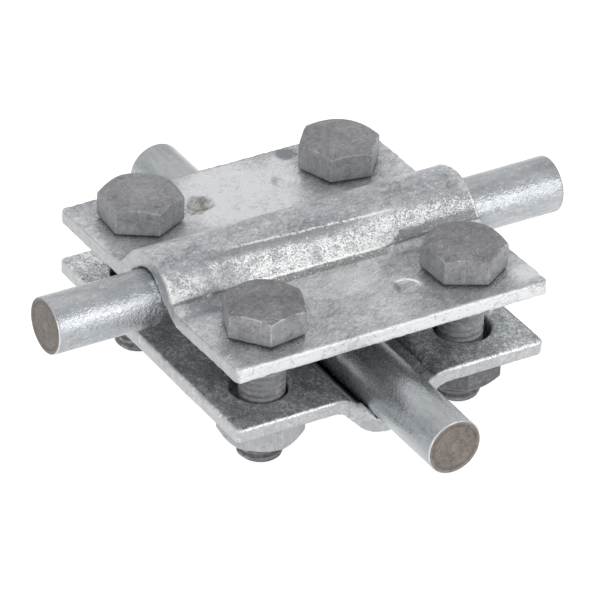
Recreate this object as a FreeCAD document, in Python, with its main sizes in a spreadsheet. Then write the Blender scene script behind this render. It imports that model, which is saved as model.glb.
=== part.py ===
import FreeCAD, Part
import math
import os
import Sketcher

# Earthing cross connector: two pressed steel plates that clamp two crossing round conductors,
# drawn together by four hex bolts. Millimetres, +Z up. The bolt ends stand on Z = 0, the upper
# conductor runs along X, the lower one along Y, and they cross on the Z axis.

doc = FreeCAD.newDocument("EarthingCrossConnector")

DRIVING_SIZES = [
    # round conductors
    ("conductor_diameter", 10.0),
    ("conductor_length", 99.2),
    ("conductor_end_chamfer", 0.35),
    # pressed plates, their length along the groove and width across it
    ("plate_length", 60.5),
    ("plate_width", 60.0),
    ("plate_corner_radius", 1.2),
    ("sheet_thickness", 2.7),
    ("hole_diameter", 10.0),
    ("hole_pitch", 40.0),
    # pressed groove, middle stretch: a flat crown between two straight flanks
    ("groove_depth", 5.9),
    ("groove_flank_angle", 47.0),
    ("groove_crown_half_width", 1.9),
    ("groove_crown_radius", 1.3),
    ("groove_shoulder_radius", 1.6),
    ("groove_middle_length", 22.0),
    # pressed groove, mouth at each edge of the plate: a round arch with soft shoulders and
    # flanks at the same angle
    ("mouth_lift", 0.4),
    ("mouth_crown_half_width", 0.3),
    ("mouth_crown_radius", 5.2),
    ("mouth_shoulder_radius", 3.0),
    ("mouth_length", 8.0),
    # shallow pips pressed into the plate beside the holes
    ("pip_diameter", 5.2),
    ("pip_floor_diameter", 2.6),
    ("pip_depth", 0.9),
    ("pip_spacing", 17.0),
    # hex bolts
    ("bolt_diameter", 8.0),
    ("bolt_length", 25.0),
    ("bolt_end_chamfer", 1.0),
    ("head_across_flats", 13.0),
    ("head_height", 5.3),
    ("head_top_circle", 12.2),
    ("washer_face_diameter", 11.6),
    ("washer_face_height", 0.35),
    # hex nuts
    ("nut_across_flats", 13.0),
    ("nut_height", 6.5),
    ("nut_face_circle", 12.2),
    # chamfer on the corners of heads and nuts, and how far its cutter passes them
    ("hex_chamfer_angle", 30.0),
    ("cutter_overrun", 1.0),
    # how the pieces sit on each other
    ("seat_gap", 0.02),
    ("thread_gap", 0.05),
    ("upper_plate_rock", 1.5),
    ("back_bolt_shift", 0.55),
]

# What follows from the driving sizes. The upper plate rocks about the axis of its conductor,
# and the bolts lean half as much, between the two plates.
DERIVED_SIZES = [
    ("conductor_radius", "Sizes.conductor_diameter / 2"),
    ("bolt_lean", "Sizes.upper_plate_rock / 2"),
    ("axis_in_plate", "Sizes.groove_depth - Sizes.seat_gap - conductor_radius"),
    ("face_over_axis", "Sizes.sheet_thickness - axis_in_plate"),
    ("head_lift", "Sizes.washer_face_diameter / 2 * sin(bolt_lean * 1deg) + Sizes.seat_gap"),
    ("nut_drop", "Sizes.nut_across_flats / 2 * sin(bolt_lean * 1deg) + Sizes.seat_gap"),
    ("axis_over_crossing", "conductor_radius + Sizes.seat_gap / 2"),
    ("back_bolt_row", "Sizes.hole_pitch / 2 + Sizes.back_bolt_shift"),
    ("back_seat_over_axis", "(face_over_axis - back_bolt_row * sin(Sizes.upper_plate_rock * 1deg))"
                            " / cos(Sizes.upper_plate_rock * 1deg) + head_lift"),
    ("bolt_end_radius", "Sizes.bolt_diameter / 2 - Sizes.bolt_end_chamfer"),
    ("bolt_reach", "Sizes.bolt_length * cos(bolt_lean * 1deg) + bolt_end_radius * sin(bolt_lean * 1deg)"),
    ("upper_axis_height", "bolt_reach - back_seat_over_axis"),
    ("crossing_height", "upper_axis_height - axis_over_crossing"),
    ("lower_axis_height", "crossing_height - axis_over_crossing"),
    ("nut_seat_height", "lower_axis_height - face_over_axis - nut_drop"),
]


def fill_sheet(name, rows, lead):
    sheet = doc.addObject("Spreadsheet::Sheet", name)
    for row, (alias, content) in enumerate(rows, start=1):
        sheet.set("A%d" % row, alias.replace("_", " "))
        sheet.set("B%d" % row, lead + str(content))
        sheet.setAlias("B%d" % row, alias)
    doc.recompute()
    return sheet


sizes = fill_sheet("Sizes", DRIVING_SIZES, "")
layout = fill_sheet("Layout", DERIVED_SIZES, "=")


def new_body(name):
    body = doc.addObject("PartDesign::Body", name)
    body.Label = name
    return body


def origin_feature(body, role):
    return next(item for item in body.Origin.OriginFeatures if item.Role == role)


def new_sketch(body, name, plane_role):
    sketch = body.newObject("Sketcher::SketchObject", name)
    sketch.AttachmentSupport = [(origin_feature(body, plane_role), "")]
    sketch.MapMode = "FlatFace"
    return sketch


def bind(sketch, kind, args, formula):
    """Add one dimension to a sketch and tie it to the sheets."""
    index = sketch.addConstraint(Sketcher.Constraint(kind, *args))
    sketch.setExpression("Constraints[%d]" % index, formula)
    return index


# Numbers that the sketcher gives to the points of a curve and to its own two axes
START, END, CENTRE = range(1, 4)
HORIZONTAL_AXIS, VERTICAL_AXIS = range(-1, -3, -1)
ORIGIN = HORIZONTAL_AXIS
LEAST_CUT_VOLUME = 0.01
POINT_TOLERANCE = 0.001


def must_have_cut(feature, volume_before):
    if feature.Shape.Volume > volume_before - LEAST_CUT_VOLUME:
        raise RuntimeError("%s removed nothing" % feature.Label)


class GrooveProfile:
    """Corner points and arc centres of the pressed sheet's section, for the first placing."""

    def __init__(self, depth, half_width, crown_radius, flank_angle, shoulder_radius):
        thickness = sizes.sheet_thickness
        turn = math.radians(flank_angle)
        self.turn = turn
        self.edge = sizes.plate_width / 2
        self.crown_centre = (half_width, depth - crown_radius)
        self.crown_radius = crown_radius
        self.shoulder_radius = shoulder_radius
        inner_shoulder = shoulder_radius + thickness
        bend_rise = (crown_radius + inner_shoulder) * (1 - math.cos(turn))
        run = (depth - bend_rise) / math.tan(turn)
        shoulder_x = half_width + (crown_radius + inner_shoulder) * math.sin(turn) + run
        self.shoulder_centre = (shoulder_x, inner_shoulder)

    def half_points(self, offset):
        """Points from the plate's edge to the middle of the crown, one sheet surface."""
        sine, cosine = math.sin(self.turn), math.cos(self.turn)
        shoulder = self.shoulder_radius + sizes.sheet_thickness - offset
        crown = self.crown_radius + offset
        sx, sz = self.shoulder_centre
        cx, cz = self.crown_centre
        return [
            (self.edge, offset),
            (sx, offset),
            (sx - shoulder * sine, sz - shoulder * cosine),
            (cx + crown * sine, cz + crown * cosine),
            (cx, cz + crown),
        ]


def groove_sketch(body, name, station, shape):
    """Closed section of the pressed sheet at one station along the groove."""
    sketch = new_sketch(body, name, "YZ_Plane")
    sketch.setExpression(".AttachmentOffset.Base.z", station)
    values = {key: float(layout.evalExpression(formula)) for key, formula in shape.items()}
    profile = GrooveProfile(**values)
    thickness = sizes.sheet_thickness

    def vector(point, side):
        return FreeCAD.Vector(side * point[0], point[1], 0)

    def arc(centre, radius, first, last, side):
        """Arc between two points, drawn anticlockwise as seen in the sketch."""
        middle = vector(centre, side)
        angles = [math.atan2(p.y - middle.y, p.x - middle.x) for p in (first, last)]
        circle = Part.Circle(middle, FreeCAD.Vector(0, 0, 1), radius)
        return Part.ArcOfCircle(circle, angles[0], angles[1])

    surfaces = {}
    for surface, offset in (("inner", 0.0), ("outer", thickness)):
        points = profile.half_points(offset)
        shoulder_radius = profile.shoulder_radius + thickness - offset
        crown_radius = profile.crown_radius + offset
        halves = {}
        for label, side in (("left", -1), ("right", 1)):
            edge, flat_end, bend_end, flank_end, crown_end = [vector(p, side) for p in points]
            shoulder_ends = (flat_end, bend_end) if side < 0 else (bend_end, flat_end)
            crown_ends = (crown_end, flank_end) if side < 0 else (flank_end, crown_end)
            halves[label] = {
                "flat": sketch.addGeometry(Part.LineSegment(edge, flat_end)),
                "shoulder": sketch.addGeometry(
                    arc(profile.shoulder_centre, shoulder_radius, *shoulder_ends, side)),
                "flank": sketch.addGeometry(Part.LineSegment(bend_end, flank_end)),
                "crown": sketch.addGeometry(
                    arc(profile.crown_centre, crown_radius, *crown_ends, side)),
            }
        top = sketch.addGeometry(Part.LineSegment(vector(points[-1], -1), vector(points[-1], 1)))
        surfaces[surface] = (halves, top)

    # Each half runs flat, shoulder, flank and crown; every joint in it is a tangent one.
    for halves, top in surfaces.values():
        for label, half in halves.items():
            left = label == "left"
            tangents = [
                (half["flat"], END, half["shoulder"], START if left else END),
                (half["shoulder"], END if left else START, half["flank"], START),
                (half["flank"], END, half["crown"], END if left else START),
                (half["crown"], START if left else END, top, START if left else END),
            ]
            for joint in tangents:
                sketch.addConstraint(Sketcher.Constraint("Tangent", *joint))
            sketch.addConstraint(Sketcher.Constraint("Horizontal", half["flat"]))

    inner, inner_top = surfaces["inner"]
    outer, outer_top = surfaces["outer"]
    sketch.addConstraint(Sketcher.Constraint("Horizontal", inner_top))
    for label, sign in (("left", -1), ("right", 1)):
        near, far = inner[label], outer[label]
        edge_line = sketch.addGeometry(
            Part.LineSegment(vector((profile.edge, 0), sign), vector((profile.edge, thickness), sign)))
        for joint in (
            (edge_line, START, near["flat"], START),
            (edge_line, END, far["flat"], START),
            (near["shoulder"], CENTRE, far["shoulder"], CENTRE),
            (near["crown"], CENTRE, far["crown"], CENTRE),
        ):
            sketch.addConstraint(Sketcher.Constraint("Coincident", *joint))
        sketch.addConstraint(Sketcher.Constraint("Vertical", edge_line))
        sketch.addConstraint(
            Sketcher.Constraint("PointOnObject", near["flat"], START, HORIZONTAL_AXIS))
        shoulder, crown = shape["shoulder_radius"], shape["crown_radius"]
        bind(sketch, "Radius", (far["shoulder"], profile.shoulder_radius), shoulder)
        bind(sketch, "Radius", (near["shoulder"], profile.shoulder_radius + thickness),
             "%s + Sizes.sheet_thickness" % shoulder)
        bind(sketch, "Radius", (near["crown"], profile.crown_radius), crown)
        bind(sketch, "Radius", (far["crown"], profile.crown_radius + thickness),
             "%s + Sizes.sheet_thickness" % crown)
        slope = shape["flank_angle"] if sign < 0 else "180 - %s" % shape["flank_angle"]
        start_slope = profile.turn if sign < 0 else math.pi - profile.turn
        bind(sketch, "Angle", (near["flank"], start_slope), slope)
        bind(sketch, "DistanceX", (near["crown"], CENTRE, sign * profile.crown_centre[0]),
             "%d * %s" % (sign, shape["half_width"]))
        bind(sketch, "DistanceX", (near["flat"], START, sign * profile.edge),
             "%d * Sizes.plate_width / 2" % sign)
    bind(sketch, "DistanceY", (inner_top, START, profile.crown_centre[1] + profile.crown_radius),
         shape["depth"])
    return sketch


MIDDLE_SHAPE = {
    "depth": "Sizes.groove_depth",
    "half_width": "Sizes.groove_crown_half_width",
    "crown_radius": "Sizes.groove_crown_radius",
    "flank_angle": "Sizes.groove_flank_angle",
    "shoulder_radius": "Sizes.groove_shoulder_radius",
}
MOUTH_SHAPE = {
    "depth": "(Sizes.groove_depth + Sizes.mouth_lift)",
    "half_width": "Sizes.mouth_crown_half_width",
    "crown_radius": "Sizes.mouth_crown_radius",
    "flank_angle": "Sizes.groove_flank_angle",
    "shoulder_radius": "Sizes.mouth_shoulder_radius",
}
HALF_MIDDLE = "Sizes.groove_middle_length / 2"
HALF_LENGTH = "Sizes.plate_length / 2"
MOUTH_START = "(%s - Sizes.mouth_length)" % HALF_LENGTH
STATIONS = [
    ("-" + HALF_LENGTH, MOUTH_SHAPE),
    ("-" + MOUTH_START, MOUTH_SHAPE),
    ("-" + HALF_MIDDLE, MIDDLE_SHAPE),
    (HALF_MIDDLE, MIDDLE_SHAPE),
    (MOUTH_START, MOUTH_SHAPE),
    (HALF_LENGTH, MOUTH_SHAPE),
]


def groove_loft(body):
    """The sheet with its groove pressed in, lofted straight from station to station."""
    sections = [
        groove_sketch(body, "groove_section_%d" % number, station, shape)
        for number, (station, shape) in enumerate(STATIONS, start=1)
    ]
    doc.recompute()
    loft = body.newObject("PartDesign::AdditiveLoft", "pressed_sheet")
    loft.Profile = sections[0]
    loft.Sections = sections[1:]
    loft.Ruled = True
    doc.recompute()
    return loft


def round_plate_corners(body, sheet):
    """Small radius on the four corners of the blank."""
    half_length, half_width = sizes.plate_length / 2, sizes.plate_width / 2

    def at_corner(edge):
        misses = [
            max(abs(abs(v.X) - half_length), abs(abs(v.Y) - half_width)) for v in edge.Vertexes
        ]
        return max(misses) < POINT_TOLERANCE

    names = ["Edge%d" % n for n, edge in enumerate(sheet.Shape.Edges, start=1) if at_corner(edge)]
    fillet = body.newObject("PartDesign::Fillet", "corner_radii")
    fillet.Base = (sheet, names)
    fillet.setExpression("Radius", "Sizes.plate_corner_radius")
    doc.recompute()


def add_circle(sketch, x, y, x_formula, y_formula, radius_formula):
    radius = float(layout.evalExpression(radius_formula))
    circle = sketch.addGeometry(Part.Circle(FreeCAD.Vector(x, y, 0), FreeCAD.Vector(0, 0, 1), radius))
    bind(sketch, "Radius", (circle, radius), radius_formula)
    if x_formula is None:
        sketch.addConstraint(Sketcher.Constraint("Coincident", circle, CENTRE, ORIGIN, START))
    else:
        bind(sketch, "DistanceX", (circle, CENTRE, x), x_formula)
        bind(sketch, "DistanceY", (circle, CENTRE, y), y_formula)
    return circle


def punch_bolt_holes(body):
    """Four clearance holes on a square, punched through the flat wings of the plate."""
    sketch = new_sketch(body, "hole_centres", "XY_Plane")
    half = sizes.hole_pitch / 2
    for sx in (-1, 1):
        for sy in (-1, 1):
            formulas = ["%d * Sizes.hole_pitch / 2" % sign for sign in (sx, sy)]
            add_circle(sketch, sx * half, sy * half, *formulas, "Sizes.hole_diameter / 2")
    doc.recompute()
    blank_volume = body.Tip.Shape.Volume
    pocket = body.newObject("PartDesign::Pocket", "bolt_holes")
    pocket.Profile = sketch
    pocket.Type = "ThroughAll"
    pocket.SideType = "Symmetric"
    doc.recompute()
    must_have_cut(pocket, blank_volume)


def polygon_sketch(body, name, plane_role, corners):
    """Closed outline of straight sides; each corner is a pair of formulas on the sheets."""
    sketch = new_sketch(body, name, plane_role)
    points = [
        FreeCAD.Vector(float(layout.evalExpression(x)), float(layout.evalExpression(y)), 0)
        for x, y in corners
    ]
    count = len(points)
    sides = [
        sketch.addGeometry(Part.LineSegment(points[k], points[(k + 1) % count])) for k in range(count)
    ]
    for k, side in enumerate(sides):
        joint = (side, END, sides[(k + 1) % count], START)
        sketch.addConstraint(Sketcher.Constraint("Coincident", *joint))
        for kind, formula, value, axis in (
            ("DistanceX", corners[k][0], points[k].x, VERTICAL_AXIS),
            ("DistanceY", corners[k][1], points[k].y, HORIZONTAL_AXIS),
        ):
            if formula == "0":
                sketch.addConstraint(Sketcher.Constraint("PointOnObject", side, START, axis))
            else:
                bind(sketch, kind, (side, START, value), formula)
    return sketch


def dish_sketch(body, name, level):
    """Half section of a shallow flat-bottomed dish below a level, open above it."""
    rim, floor = "Sizes.pip_diameter / 2", "Sizes.pip_floor_diameter / 2"
    bottom, lid = level + " - Sizes.pip_depth", level + " + Sizes.sheet_thickness / 2"
    corners = [("0", bottom), (floor, bottom), (rim, level), (rim, lid), ("0", lid)]
    sketch = polygon_sketch(body, name, "XZ_Plane", corners)
    sketch.setExpression(".AttachmentOffset.Base.x", "Sizes.pip_spacing / 2")
    sketch.setExpression(".AttachmentOffset.Base.z", "Sizes.hole_pitch / 2")
    return sketch


def turned(body, name, sketch, feature_type):
    """Full turn of a half section about the sketch's upright axis, added or cut away."""
    feature = body.newObject("PartDesign::" + feature_type, name)
    feature.Profile = sketch
    feature.ReferenceAxis = (sketch, ["V_Axis"])
    feature.Angle = 360
    doc.recompute()
    return feature


def press_pips(body):
    """Four round pips: a dish in the outer face, and the metal it moves standing out inside."""
    boss = turned(body, "pip_boss", dish_sketch(body, "pip_boss_section", "0"), "Revolution")
    with_boss = boss.Shape.Volume
    outer_face = "Sizes.sheet_thickness"
    dish = turned(body, "pip_dish", dish_sketch(body, "pip_dish_section", outer_face), "Groove")
    must_have_cut(dish, with_boss)
    pattern = body.newObject("PartDesign::MultiTransform", "pips")
    pattern.Originals = [boss, dish]
    mirrors = []
    for name, role in (("pips_across", "YZ_Plane"), ("pips_along", "XZ_Plane")):
        mirror = doc.addObject("PartDesign::Mirrored", name)
        mirror.MirrorPlane = (origin_feature(body, role), [""])
        mirrors.append(mirror)
    pattern.Transformations = mirrors
    body.Tip = pattern
    doc.recompute()


def pressed_plate(name):
    """One clamp plate: inner face on its own XY plane, groove along its own X."""
    body = new_body(name)
    round_plate_corners(body, groove_loft(body))
    punch_bolt_holes(body)
    press_pips(body)
    return body


def hex_pad(body, name, across_flats, base, height, downwards):
    """Hexagonal prism about the body's Z axis, with one corner on its X axis."""
    sketch = new_sketch(body, name + "_outline", "XY_Plane")
    sketch.setExpression(".AttachmentOffset.Base.z", base)
    radius_formula = across_flats + " / 2 / cos(30deg)"
    radius = float(layout.evalExpression(radius_formula))
    up = FreeCAD.Vector(0, 0, 1)
    corners = [
        FreeCAD.Vector(radius * math.cos(k * math.pi / 3), radius * math.sin(k * math.pi / 3), 0)
        for k in range(6)
    ]
    sides = [
        sketch.addGeometry(Part.LineSegment(corners[k], corners[(k + 1) % 6])) for k in range(6)
    ]
    circle = sketch.addGeometry(Part.Circle(FreeCAD.Vector(0, 0, 0), up, radius), True)
    sketch.addConstraint(Sketcher.Constraint("Coincident", circle, CENTRE, ORIGIN, START))
    for k, side in enumerate(sides):
        joint = (side, END, sides[(k + 1) % 6], START)
        sketch.addConstraint(Sketcher.Constraint("Coincident", *joint))
        sketch.addConstraint(Sketcher.Constraint("PointOnObject", side, START, circle))
        if k:
            sketch.addConstraint(Sketcher.Constraint("Equal", sides[0], side))
    sketch.addConstraint(Sketcher.Constraint("PointOnObject", sides[0], START, HORIZONTAL_AXIS))
    bind(sketch, "Radius", (circle, radius), radius_formula)
    pad = body.newObject("PartDesign::Pad", name)
    pad.Profile = sketch
    pad.setExpression("Length", height)
    pad.Reversed = downwards
    doc.recompute()
    return pad


def corner_cut(end, sign, top_radius, corner_radius):
    """Triangle that turns the corners off one end of a hexagon, at the chamfer angle."""
    clear = "(%s + Sizes.cutter_overrun)" % corner_radius
    drop = "(%s - %s) * tan(Sizes.hex_chamfer_angle * 1deg)" % (clear, top_radius)
    return [
        (top_radius, end),
        (clear, end),
        (clear, "%s %s %s" % (end, "-" if sign > 0 else "+", drop)),
    ]


def hex_bolt(name):
    """Hex bolt: bearing face on its own XY plane, head above and shank below."""
    body = new_body(name)
    washer = "Sizes.washer_face_diameter / 2"
    face = "Sizes.washer_face_height"
    shank = "Sizes.bolt_diameter / 2"
    stem = polygon_sketch(body, "shank_section", "XZ_Plane", [
        ("0", face),
        (washer, face),
        (washer, "0"),
        (shank, "0"),
        (shank, "Sizes.bolt_end_chamfer - Sizes.bolt_length"),
        ("Layout.bolt_end_radius", "-Sizes.bolt_length"),
        ("0", "-Sizes.bolt_length"),
    ])
    turned(body, "shank_and_washer_face", stem, "Revolution")
    across = "Sizes.head_across_flats"
    head = hex_pad(body, "hex_head", across, face, "Sizes.head_height - " + face, False)
    cut = corner_cut("Sizes.head_height", 1, "Sizes.head_top_circle / 2", across + " / 2 / cos(30deg)")
    chamfer = turned(
        body, "head_chamfer", polygon_sketch(body, "head_chamfer_section", "XZ_Plane", cut), "Groove")
    must_have_cut(chamfer, head.Shape.Volume)
    return body


def hex_nut(name):
    """Hex nut: bearing face on its own XY plane and the nut below it."""
    body = new_body(name)
    across = "Sizes.nut_across_flats"
    blank = hex_pad(body, "hex_blank", across, "0", "Sizes.nut_height", True)
    corner = across + " / 2 / cos(30deg)"
    circle = "Sizes.nut_face_circle / 2"
    upper = polygon_sketch(
        body, "bearing_chamfer_section", "XZ_Plane", corner_cut("0", 1, circle, corner))
    lower = polygon_sketch(
        body, "outer_chamfer_section", "XZ_Plane", corner_cut("-Sizes.nut_height", -1, circle, corner))
    first = turned(body, "bearing_chamfer", upper, "Groove")
    must_have_cut(first, blank.Shape.Volume)
    second = turned(body, "outer_chamfer", lower, "Groove")
    must_have_cut(second, first.Shape.Volume)
    bore = "(Sizes.bolt_diameter / 2 + Sizes.thread_gap)"
    above = "Sizes.cutter_overrun"
    below = "-Sizes.cutter_overrun - Sizes.nut_height"
    hole = polygon_sketch(
        body, "bore_section", "XZ_Plane", [("0", above), (bore, above), (bore, below), ("0", below)])
    must_have_cut(turned(body, "bore", hole, "Groove"), second.Shape.Volume)
    return body


def conductor(name):
    """Straight round conductor along its own Z axis, centred on its own origin."""
    body = new_body(name)
    radius = "Layout.conductor_radius"
    chamfered = "(%s - Sizes.conductor_end_chamfer)" % radius
    end = "Sizes.conductor_length / 2"
    outline = polygon_sketch(body, "half_section", "XZ_Plane", [
        ("0", end),
        (chamfered, end),
        (radius, end + " - Sizes.conductor_end_chamfer"),
        (radius, "Sizes.conductor_end_chamfer - " + end),
        (chamfered, "-" + end),
        ("0", "-" + end),
    ])
    turned(body, "round_bar", outline, "Revolution")
    return body


def rotation(x, y, z, angle):
    return "create(<<rotation>>; create(<<vector>>; %d; %d; %d); %s)" % (x, y, z, angle)


def vector(x, y, z):
    return "create(<<vector>>; %s; %s; %s)" % (x, y, z)


def place(body, *steps):
    """Placement as a product of steps, each a pair of formulas: where to, and turned how."""
    body.setExpression("Placement", " * ".join("create(<<placement>>; %s; %s)" % s for s in steps))


NO_TURN = rotation(0, 0, 1, "0")
NO_SHIFT = vector(0, 0, 0)
TIP_BACK = rotation(1, 0, 0, "-Sizes.upper_plate_rock")
LEAN_BACK = rotation(1, 0, 0, "-Layout.bolt_lean")

upper_plate = pressed_plate("upper_clamp_plate")
place(
    upper_plate,
    (vector(0, 0, "Layout.upper_axis_height"), TIP_BACK),
    (vector(0, 0, "-Layout.axis_in_plate"), NO_TURN),
)
lower_plate = pressed_plate("lower_clamp_plate")
place(
    lower_plate,
    (vector(0, 0, "Layout.lower_axis_height"), rotation(0, 0, 1, 90)),
    (NO_SHIFT, rotation(1, 0, 0, 180)),
    (vector(0, 0, "-Layout.axis_in_plate"), NO_TURN),
)

upper_conductor = conductor("upper_round_conductor")
place(upper_conductor, (vector(0, 0, "Layout.upper_axis_height"), rotation(0, 1, 0, 90)))
lower_conductor = conductor("lower_round_conductor")
place(lower_conductor, (vector(0, 0, "Layout.lower_axis_height"), rotation(1, 0, 0, 90)))


def fasten(corner, side, shift, head_turn, nut_turn):
    """Bolt and nut at one corner, off centre in their clearance holes as the sample shows."""
    bolt_x = "%d * Sizes.hole_pitch / 2 + %s" % (side[0], shift[0])
    bolt_y = "%d * Sizes.hole_pitch / 2 + %s" % (side[1], shift[1])
    rock = "Sizes.upper_plate_rock * 1deg"
    seat = "(Layout.face_over_axis - (%s) * sin(%s)) / cos(%s)" % (bolt_y, rock, rock)
    head_seat = "Layout.upper_axis_height + %s + Layout.head_lift" % seat
    bolt = hex_bolt("bolt_" + corner)
    where = (vector(bolt_x, bolt_y, head_seat), LEAN_BACK)
    place(bolt, where, (NO_SHIFT, rotation(0, 0, 1, head_turn)))
    nut = hex_nut("nut_" + corner)
    down = "-(%s - Layout.nut_seat_height) / cos(Layout.bolt_lean * 1deg)" % head_seat
    place(nut, where, (vector(0, 0, down), rotation(0, 0, 1, nut_turn)))
    return [bolt, nut]


BACK_SHIFT = "Sizes.back_bolt_shift"
FASTENERS = [
    {"corner": "front_left", "side": (-1, -1), "shift": ("0.7", "0.2"), "head_turn": 8, "nut_turn": 28},
    {"corner": "front_right", "side": (1, -1), "shift": ("-0.1", "0.6"), "head_turn": 32, "nut_turn": 12},
    {"corner": "back_left", "side": (-1, 1), "shift": ("0.2", BACK_SHIFT), "head_turn": 26, "nut_turn": 20},
    {"corner": "back_right", "side": (1, 1), "shift": ("-0.5", BACK_SHIFT), "head_turn": -11, "nut_turn": -8},
]
fasteners = [piece for row in FASTENERS for piece in fasten(**row)]

parts = [upper_plate, lower_plate, upper_conductor, lower_conductor] + fasteners
doc.recompute()

for item in doc.Objects:
    if "Invalid" in item.State or "Error" in item.State:
        raise RuntimeError("%s did not build: %s" % (item.Label, item.State))
for part in parts:
    if part.Shape.isNull() or not part.Shape.isValid() or len(part.Shape.Solids) != 1:
        raise RuntimeError("%s is not one valid solid" % part.Label)

os.makedirs("parts", exist_ok=True)
for part in parts:
    part.Shape.exportStep(os.path.join("parts", part.Label + ".step"))
    box = part.Shape.BoundBox
    print("%-24s %9.1f mm3  z %6.3f to %6.3f" % (part.Label, part.Shape.Volume, box.ZMin, box.ZMax))
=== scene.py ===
import bmesh
import bpy
import math
from mathutils import Matrix, Vector


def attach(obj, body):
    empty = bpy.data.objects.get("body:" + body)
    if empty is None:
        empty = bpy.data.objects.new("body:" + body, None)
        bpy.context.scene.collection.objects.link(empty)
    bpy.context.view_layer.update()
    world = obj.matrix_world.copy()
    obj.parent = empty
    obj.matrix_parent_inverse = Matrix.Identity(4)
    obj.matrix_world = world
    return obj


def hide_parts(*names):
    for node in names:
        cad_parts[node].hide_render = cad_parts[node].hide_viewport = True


# Earthing cross connector: two galvanised pressed plates over two crossing conductors, drawn
# together by four dull zinc bolts. Lengths are in millimetres and become metres through MM.

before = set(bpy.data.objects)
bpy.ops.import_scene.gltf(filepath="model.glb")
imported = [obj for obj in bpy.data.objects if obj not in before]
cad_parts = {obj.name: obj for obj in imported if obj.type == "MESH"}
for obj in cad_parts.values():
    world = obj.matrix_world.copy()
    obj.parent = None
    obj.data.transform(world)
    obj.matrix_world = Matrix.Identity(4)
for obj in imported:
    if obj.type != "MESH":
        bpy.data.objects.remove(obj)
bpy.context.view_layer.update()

MM = 0.001

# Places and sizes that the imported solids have
UPPER_AXIS, LOWER_AXIS, CROSSING = 23.6587, 13.6387, 18.6487
PLATE_ROCK, BOLT_LEAN = math.radians(1.5), math.radians(0.75)
AXIS_IN_PLATE, FACE_OVER_AXIS = 0.88, 1.82
HALF_LENGTH, HALF_WIDTH = 30.25, 30.0
MOUTH_FLAT, MOUTH_RADIUS, MOUTH_DEPTH, FLANK_TURN = 0.3, 5.2, 6.3, math.radians(47)
ROD_RADIUS, ROD_HALF = 5.0, 49.6
HEX_APOTHEM, HEAD_HEIGHT, FACE_HEIGHT, HEX_CIRCLE = 6.5, 5.3, 0.35, 6.1
HEX_CORNER = HEX_APOTHEM / math.cos(math.radians(30))
NUT_HEIGHT, NUT_SEAT, HEAD_LIFT, WASHER_RADIUS = 6.5, 11.7136, 0.0959, 5.8
BOLT_LENGTH, THREAD_PITCH, THREAD_CREST, THREAD_ROOT = 25.0, 1.25, 3.96, 3.56
CHAMFER_SLOPE = math.tan(math.radians(30))

# Corner, the bolt's x and y, the turns of its head and its nut in degrees, and how much painted light
# the head's top and the nut get over plain dull zinc; those below 0 get painted shade
CORNERS = [
    ("front_left", -19.3, -19.8, 8, 28, -0.16, 0.62),
    ("front_right", 19.9, -19.4, 32, 12, 0.0, -0.40),
    ("back_left", -19.8, 20.55, 26, 20, 0.13, 0.20),
    ("back_right", 19.5, 20.55, -11, -8, 0.08, 0.15),
]


# Working as by hand

def only(*pieces):
    """Select just these pieces, the last one active."""
    bpy.ops.object.select_all(action="DESELECT")
    for piece in pieces:
        piece.select_set(True)
    bpy.context.view_layer.objects.active = pieces[-1]


def settle(piece):
    """Put a piece's place into its mesh, its object at the origin."""
    only(piece)
    bpy.ops.object.transform_apply(location=True, rotation=True, scale=True)
    return piece


def finish_with(piece, kind, **settings):
    """Give a piece one modifier and apply it."""
    only(piece)
    modifier = piece.modifiers.new(kind.lower(), kind)
    for name, value in settings.items():
        setattr(modifier, name, value)
    bpy.ops.object.modifier_apply(modifier=modifier.name)


def edit(piece, mode="FACE"):
    """Go into edit mode by vertex, edge or face, with the whole mesh selected."""
    only(piece)
    bpy.ops.object.mode_set(mode="EDIT")
    bpy.ops.mesh.select_mode(type=mode)
    bpy.ops.mesh.select_all(action="SELECT")


def leave_edit():
    """Back to whole objects."""
    bpy.ops.object.mode_set(mode="OBJECT")


def leave_closed():
    """Turn all faces of the closed mesh outwards, then leave edit mode."""
    bpy.ops.mesh.select_all(action="SELECT")
    bpy.ops.mesh.normals_make_consistent(inside=False)
    leave_edit()


def pick_faces(piece, wanted):
    """In edit mode, select the faces whose centre passes a test."""
    bpy.ops.mesh.select_all(action="DESELECT")
    shape = bmesh.from_edit_mesh(piece.data)
    for face in shape.faces:
        face.select_set(wanted(face.calc_center_median() / MM))
    bmesh.update_edit_mesh(piece.data)


def cut_with(piece, other, operation):
    """Intersect a piece with another one, or take that one out of it; the other is used up."""
    finish_with(piece, "BOOLEAN", operation=operation, object=other, solver="EXACT")
    bpy.data.objects.remove(other)


def clouds(name, grain, depth=2):
    """A cloud pattern whose features are about as wide as the grain, in millimetres."""
    texture = bpy.data.textures.new(name, "CLOUDS")
    texture.noise_scale = grain * MM
    texture.noise_depth = depth
    texture.noise_basis = "ORIGINAL_PERLIN"
    return texture


SLOW_WAVES = clouds("slow waves in the zinc", 9.0)
ZINC_LUMPS = clouds("lumps in the zinc", 2.6)
FINE_LUMPS = clouds("fine lumps in the zinc", 1.1, 3)


def uneven(piece, texture, height, group=""):
    """Raise and sink the skin by a cloud pattern, in millimetres from top to bottom."""
    finish_with(piece, "DISPLACE", texture=texture, texture_coords="LOCAL", strength=height * MM,
                mid_level=0.5, vertex_group=group)


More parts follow.
